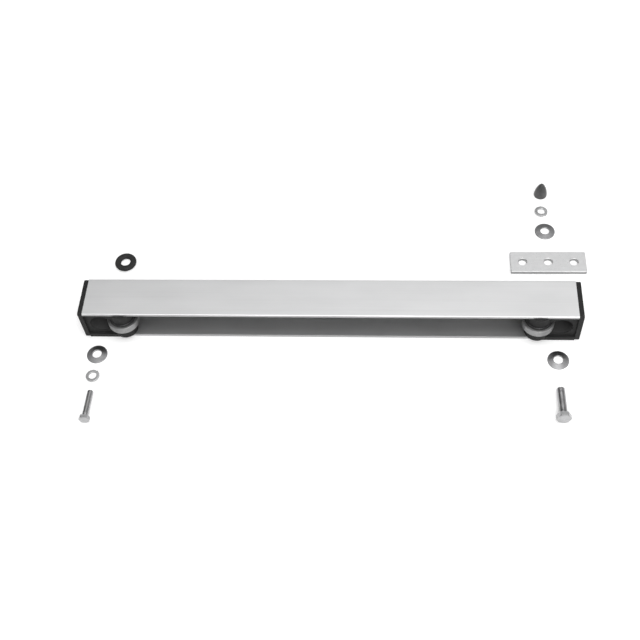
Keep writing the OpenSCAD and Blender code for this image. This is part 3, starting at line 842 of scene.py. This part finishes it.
# In shares of half the width across the flats: where a head's cone ends, and its bearing face.
HEAD_CROWN = 0.94
HEAD_BEARING = 0.93
PLATE_CORNER = 1.0
PLATE_PITCH = 26.5
PLATE_HOLE = 4.5
RING_HOLE = 5.25
NUT_BORE = 3.4
NUT_BORE_DEPTH = 10.0
NUT_THREAD = 4.0
NUT_PITCH = 1.25
NUT_BULGE = 1.9
NUT_POINT = 0.72


def on_bench(node, shape):
    """A shape drawn about the origin, set down where its CAD node lies."""
    low, high = box_mm(node)
    middle = (low + high) / 2
    return moved(shape, (middle[0], middle[1], 0))


def flat_washer_shape(node):
    """A dished washer: its top falls in a straight line from the hole to the rim. Its edges are rounded."""
    low, high = box_mm(node)
    outer, height = (high[0] - low[0]) / 2, high[2]
    section = [(WASHER_HOLE, 0), (outer, 0), (outer, height - WASHER_DISH), (WASHER_HOLE, height)]
    return on_bench(node, lathe(rounded(section, [0.3, 0.15, 0.4, 0.25], 5)))


def spring_washer_shape(node):
    """One turn of square wire: its rounded section goes round by angle a and rises evenly with a."""
    low, high = box_mm(node)
    width = (high[0] - low[0]) / 2 - SPRING_HOLE
    thickness = high[2] - SPRING_RISE
    section = rectangle(width, thickness, 0.28, 3) + (SPRING_HOLE + width / 2, thickness / 2)
    share = np.linspace(0, 1, 121)[:, None]
    angle = np.radians(SPLIT_AT[node] + SPRING_SPLIT / 2 + (360 - SPRING_SPLIT) * share)
    radius, z = section.T[:, None, :]
    loops = np.stack([radius * np.cos(angle), radius * np.sin(angle), z + SPRING_RISE * share], axis=-1)
    return on_bench(node, skinned(loops))


def hexagon_head(flats, height):
    """A bolt head from its bearing face at 0 down to -height, by turn t: the side's radius is
    flats / 2 / cos(t - 30 degrees) within each sixth, and the corners are cut by a 30 degree cone.
    """
    half = flats / 2
    turn = np.linspace(0, 2 * np.pi, 96, endpoint=False)
    side = half / np.cos(np.mod(turn, np.pi / 3) - np.pi / 6)
    side = np.minimum(side, half / math.cos(math.pi / 6) - 0.1)
    circle = np.ones_like(turn)
    crown = HEAD_CROWN * half
    bearing = HEAD_BEARING * half
    cone = (side - crown) * math.tan(math.radians(30))
    # From the middle of the top over the cone, down the side, and in across the bearing face.
    rows = [
        (0 * circle, -height * circle), (crown * 0.97 * circle, -height * circle),
        (crown * circle, (0.04 - height) * circle), (side - 0.1, cone - height), (side, cone + 0.12 - height),
        (side, -0.55 * circle), (side - 0.12, -0.42 * circle), (bearing * circle, -0.4 * circle),
        (bearing * circle, -0.06 * circle), ((bearing - 0.06) * circle, 0 * circle), (0 * circle, 0 * circle),
    ]
    radius, z = np.array([r for r, _ in rows]), np.array([h for _, h in rows])
    points = np.stack([radius * np.cos(turn), radius * np.sin(turn), z], axis=-1).reshape(-1, 3)
    return points, grid_faces(len(rows), len(turn))


def bolt_shape(node):
    """A hexagon bolt, threaded up to a short neck. It lies on its head and its tip, so its axis leans by
    the angle whose tangent is (half the flats - the shank's radius) / the shank's length.
    """
    low, high = box_mm(node)
    radius, pitch, flats, head_height = BOLTS[node]
    rod = threaded_rod(radius, pitch, BOLT_LENGTH + BOLT_SUNK, radius * TIP_SHARE, BOLT_NECK, 48, 12)
    lean = math.atan((flats / 2 - radius) / BOLT_LENGTH)
    tilt = -math.pi / 2 - lean
    turn = ((1, 0, 0), (0, math.cos(tilt), -math.sin(tilt)), (0, math.sin(tilt), math.cos(tilt)))
    bearing_y = high[1] - BOLT_LENGTH * math.cos(lean) - radius * TIP_REACH * math.sin(lean)
    place = ((low[0] + high[0]) / 2, bearing_y, flats / 2 * math.cos(lean))
    return moved(joined(hexagon_head(flats, head_height), moved(rod, (0, 0, -BOLT_SUNK))), place, turn)


def plate_shape(node):
    """The fixing plate: cut strip with softened edges and three drilled holes."""
    low, high = box_mm(node)
    size = high - low
    body = slab(*size, PLATE_CORNER, low_edge=0.25, high_edge=0.45)
    drill = hole_tool(PLATE_HOLE, size[2], 0.3)
    drills = [moved(drill, (step * PLATE_PITCH, 0, size[2])) for step in (-1, 0, 1)]
    return cut_mesh(node, on_bench(node, body), on_bench(node, joined(*drills)))


def buffer_shape(node):
    """The rubber ring: all its edges well rounded, with a faint mould line round the outside."""
    low, high = box_mm(node)
    outer, thickness = (high[0] - low[0]) / 2, high[2]
    wall, middle = outer - 0.12, thickness / 2
    section = [(RING_HOLE, 0), (wall, 0), (wall, middle - 0.2), (outer, middle), (wall, middle + 0.2),
               (wall, thickness), (RING_HOLE, thickness)]
    return on_bench(node, lathe(rounded(section, [1.9, 1.9, 0.1, 0.05, 0.1, 1.9, 1.9], 8), 128))


def cone_nut_shape(node):
    """The cone nut: at a share s of its height its radius is r (1 - s^bulge)^point, over a threaded hole."""
    low, high = box_mm(node)
    radius, height = (high[0] - low[0]) / 2, high[2]
    share = np.sin(np.linspace(0.08, np.pi / 2, 40))
    side = np.column_stack([radius * np.maximum(1 - share**NUT_BULGE, 0) ** NUT_POINT, height * share])
    side[-1, 0] = 0
    base = [(0, 0), (radius - 0.8, 0), (radius - 0.35, 0.12), (radius - 0.1, 0.45)]
    body = on_bench(node, lathe(base + side.tolist(), 128))
    mouth = lathe([(0, -1), (NUT_THREAD + 1.3, -1), (NUT_BORE, 0.9), (NUT_BORE, NUT_BORE_DEPTH),
                   (0, NUT_BORE_DEPTH + 2)], 64)
    tap = threaded_rod(NUT_THREAD, NUT_PITCH, NUT_BORE_DEPTH, tip_radius=NUT_BORE - 0.3, neck=0.3)
    bored = cut_mesh(node, body, on_bench(node, mouth))
    return cut_mesh(node, bored, on_bench(node, moved(tap, (0, 0, -1))))


LOOSE_PARTS = {
    "left_flat_washer": flat_washer_shape, "rear_flat_washer": flat_washer_shape,
    "right_flat_washer": flat_washer_shape, "left_spring_washer": spring_washer_shape,
    "rear_spring_washer": spring_washer_shape, "left_bolt": bolt_shape, "right_bolt": bolt_shape,
    "fixing_plate": plate_shape, "buffer_ring": buffer_shape, "cone_nut": cone_nut_shape,
}
for node, shape in LOOSE_PARTS.items():
    add_piece(node + "_part", node, shape(node))

# ---------------------------------------------------------------- bench, light and camera

# The bench's half width in metres, and the strength of its glow.
BENCH = 6.0
BENCH_GLOW = 0.2
# The room's brightness: between which heights of a direction it climbs, from what to what, how much more it
# has towards +X, and what the camera sees of it behind the bench.
ROOM_CLIMB = (0.40, 0.98)
ROOM_LOW = 0.11
ROOM_HIGH = 1.03
ROOM_SIDE = 0.24
ROOM_SEEN = 0.72
# Each soft box's name, place and size in metres, and its power in watts.
SOFT_BOXES = (
    ("front_box", (0.4, -1.5, 1.5), (1.6, 1.0), 24.0),
    ("top_box", (0.1, -0.2, 1.9), (1.6, 1.2), 13.0),
)
# The camera's place in metres, its focal length in millimetres, and its angles in degrees.
CAMERA_PLACE = (0.0702, -0.5923, 0.8650)
CAMERA_LENS = 57.68
CAMERA_ANGLES = (55.334, -7.651, -5.939)


def add_bench():
    """A white light table, faintly mottled, far larger than the part; its own glow softens the shadows."""
    f = Finish("white_bench")
    cloud = f.noise((90, 90, 90), 4.0)
    grain = f.noise((1.2, 1.2, 1.2), 3.0)
    glow = {"Emission_Color": (1.0, 1.0, 1.0, 1.0), "Emission_Strength": BENCH_GLOW}
    colour = f.mixed(0.88, 0.91, cloud)
    f.done(colour, 0.62 + grain * 0.1, f.bumps(grain, 0.01), 0.0, Specular_IOR_Level=0.2, **glow)
    mesh = bpy.data.meshes.new("bench")
    corners = [(-BENCH, -BENCH, 0), (BENCH, -BENCH, 0), (BENCH, BENCH, 0), (-BENCH, BENCH, 0)]
    mesh.from_pydata(corners, [], [(0, 1, 2, 3)])
    mesh.materials.append(f.material)
    bench = bpy.data.objects.new("bench", mesh)
    bpy.context.scene.collection.objects.link(bench)


def add_light(name, place, size, power):
    """A white soft box of that width and height in metres, turned towards the middle of the bench."""
    light = bpy.data.lights.new(name, "AREA")
    light.shape = "RECTANGLE"
    light.size, light.size_y = size
    light.energy = power
    lamp = bpy.data.objects.new(name, light)
    lamp.location = place
    lamp.rotation_mode = "QUATERNION"
    lamp.rotation_quaternion = (-Vector(place)).to_track_quat("-Z", "Y")
    bpy.context.scene.collection.objects.link(lamp)


def add_camera():
    """The camera: pitch below the horizon, yaw about Z and roll about its own line of sight."""
    pitch, yaw, roll = (math.radians(angle) for angle in CAMERA_ANGLES)
    forward = Vector((math.sin(yaw) * math.cos(pitch), math.cos(yaw) * math.cos(pitch), -math.sin(pitch)))
    level = Vector((math.cos(yaw), -math.sin(yaw), 0))
    upright = level.cross(forward)
    right = level * math.cos(roll) + upright * math.sin(roll)
    up = upright * math.cos(roll) - level * math.sin(roll)
    data = bpy.data.cameras.new("camera")
    data.lens = CAMERA_LENS
    data.sensor_width = 36.0
    data.clip_start, data.clip_end = 0.05, 50.0
    camera = bpy.data.objects.new("camera", data)
    camera.matrix_world = Matrix((right, up, -forward)).transposed().to_4x4()
    camera.location = CAMERA_PLACE
    bpy.context.scene.collection.objects.link(camera)
    bpy.context.scene.camera = camera


def add_room():
    """White room light: dim at the horizon, brighter overhead and a little brighter on the right. The
    room that shows behind the bench has one even brightness of its own.
    """
    world = bpy.data.worlds.new("room")
    f = Finish("room", world)
    towards = f.node("SeparateXYZ", None, {0: f.node("TexCoord").outputs["Generated"]})
    sideways, height = Value(f, towards.outputs[0]), Value(f, towards.outputs[2])
    climb = height.within(*ROOM_CLIMB)
    smooth = climb * climb * (3 - 2 * climb)
    light = ROOM_LOW + smooth * (ROOM_HIGH - ROOM_LOW) + sideways * ROOM_SIDE
    seen = Value(f, f.node("LightPath").outputs["Is Camera Ray"])
    strength = light * (1 - seen) + seen * ROOM_SEEN
    background = f.node("Background", None, {"Color": (1.0, 1.0, 1.0, 1.0), "Strength": strength})
    f.node("OutputWorld", None, {"Surface": background.outputs[0]})
    bpy.context.scene.world = world


add_bench()
for name, place, size, power in SOFT_BOXES:
    add_light(name, place, size, power)
add_camera()
add_room()
bpy.context.scene.view_settings.view_transform = "Standard"
